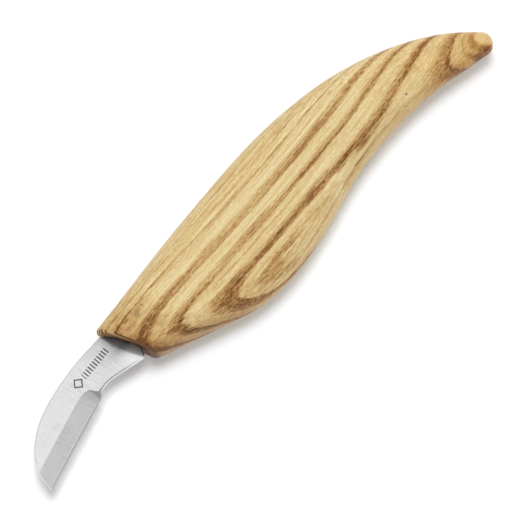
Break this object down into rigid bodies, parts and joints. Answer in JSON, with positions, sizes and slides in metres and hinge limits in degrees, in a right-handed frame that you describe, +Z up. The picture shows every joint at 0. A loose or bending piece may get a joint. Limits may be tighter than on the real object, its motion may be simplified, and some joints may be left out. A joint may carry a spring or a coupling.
{
  "type": "chip carving knife",
  "caption": "Chip carving knife: short drop-point blade with a straight ground edge, bedded by a hidden tang in a curved palm handle of ash.",
  "frame": {"origin": "under the middle of the whole knife, on the plane that its lower cheek lies on", "axes": "+X along the knife from blade to tail, +Y towards the spine, +Z up through the thickness, out of the upper cheek"},
  "size_m": [0.1749, 0.0347, 0.0195],
  "materials": {
    "ash": "oiled",
    "steel": "satin ground",
    "glue": "set epoxy"
  },
  "bodies": {
    "root": {"handle": "ash", "blade": "steel", "tang_glue": "glue"}
  },
  "joints": []
}
